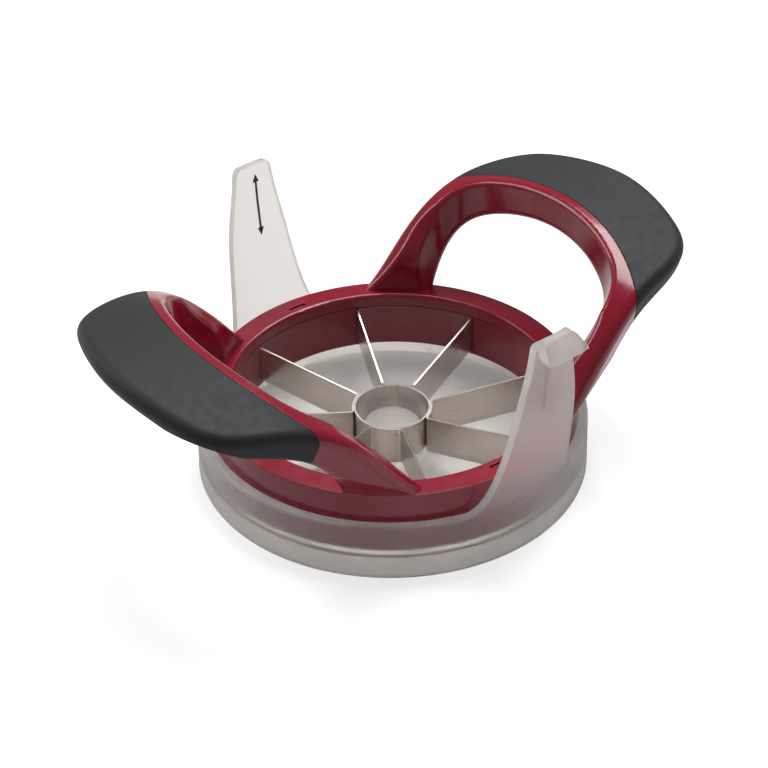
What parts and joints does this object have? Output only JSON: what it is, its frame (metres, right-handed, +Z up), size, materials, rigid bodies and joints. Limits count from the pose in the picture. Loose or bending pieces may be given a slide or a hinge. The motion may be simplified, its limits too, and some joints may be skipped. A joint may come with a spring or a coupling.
{
  "type": "apple slicer wedger press",
  "caption": "Round two-handled fruit wedger: a bladed ring with a core tube that presses down over a dish base with two upright guides.",
  "frame": {"origin": "middle of the whole part's box at the height of the base's underside; the ring's axis stands 3.17 mm from it towards +Y, because one upright's lip stands out further", "axes": "+X from handle to handle, +Z up out of the base along the pressing direction"},
  "size_m": [0.191, 0.1428, 0.0784],
  "materials": {
    "base_plastic": "frosted translucent polypropylene",
    "red_plastic": "glossy dark red moulding",
    "grip_rubber": "smooth soft-touch skin, matt",
    "blade_steel": "brushed stainless strip"
  },
  "bodies": {
    "base": {"base_dish": "base_plastic"},
    "head": {"frame": "red_plastic", "clamp_ring": "red_plastic", "core_tube": "blade_steel", "blade_strip_1": "blade_steel", "blade_strip_2": "blade_steel", "blade_strip_3": "blade_steel", "blade_strip_4": "blade_steel", "grip_1": "grip_rubber", "grip_2": "grip_rubber"}
  },
  "joints": [
    {"name": "head_lift", "type": "slide", "parent": "base", "child": "head", "axis": [0, 0, 1], "range_m": [0, 0.08]}
  ]
}
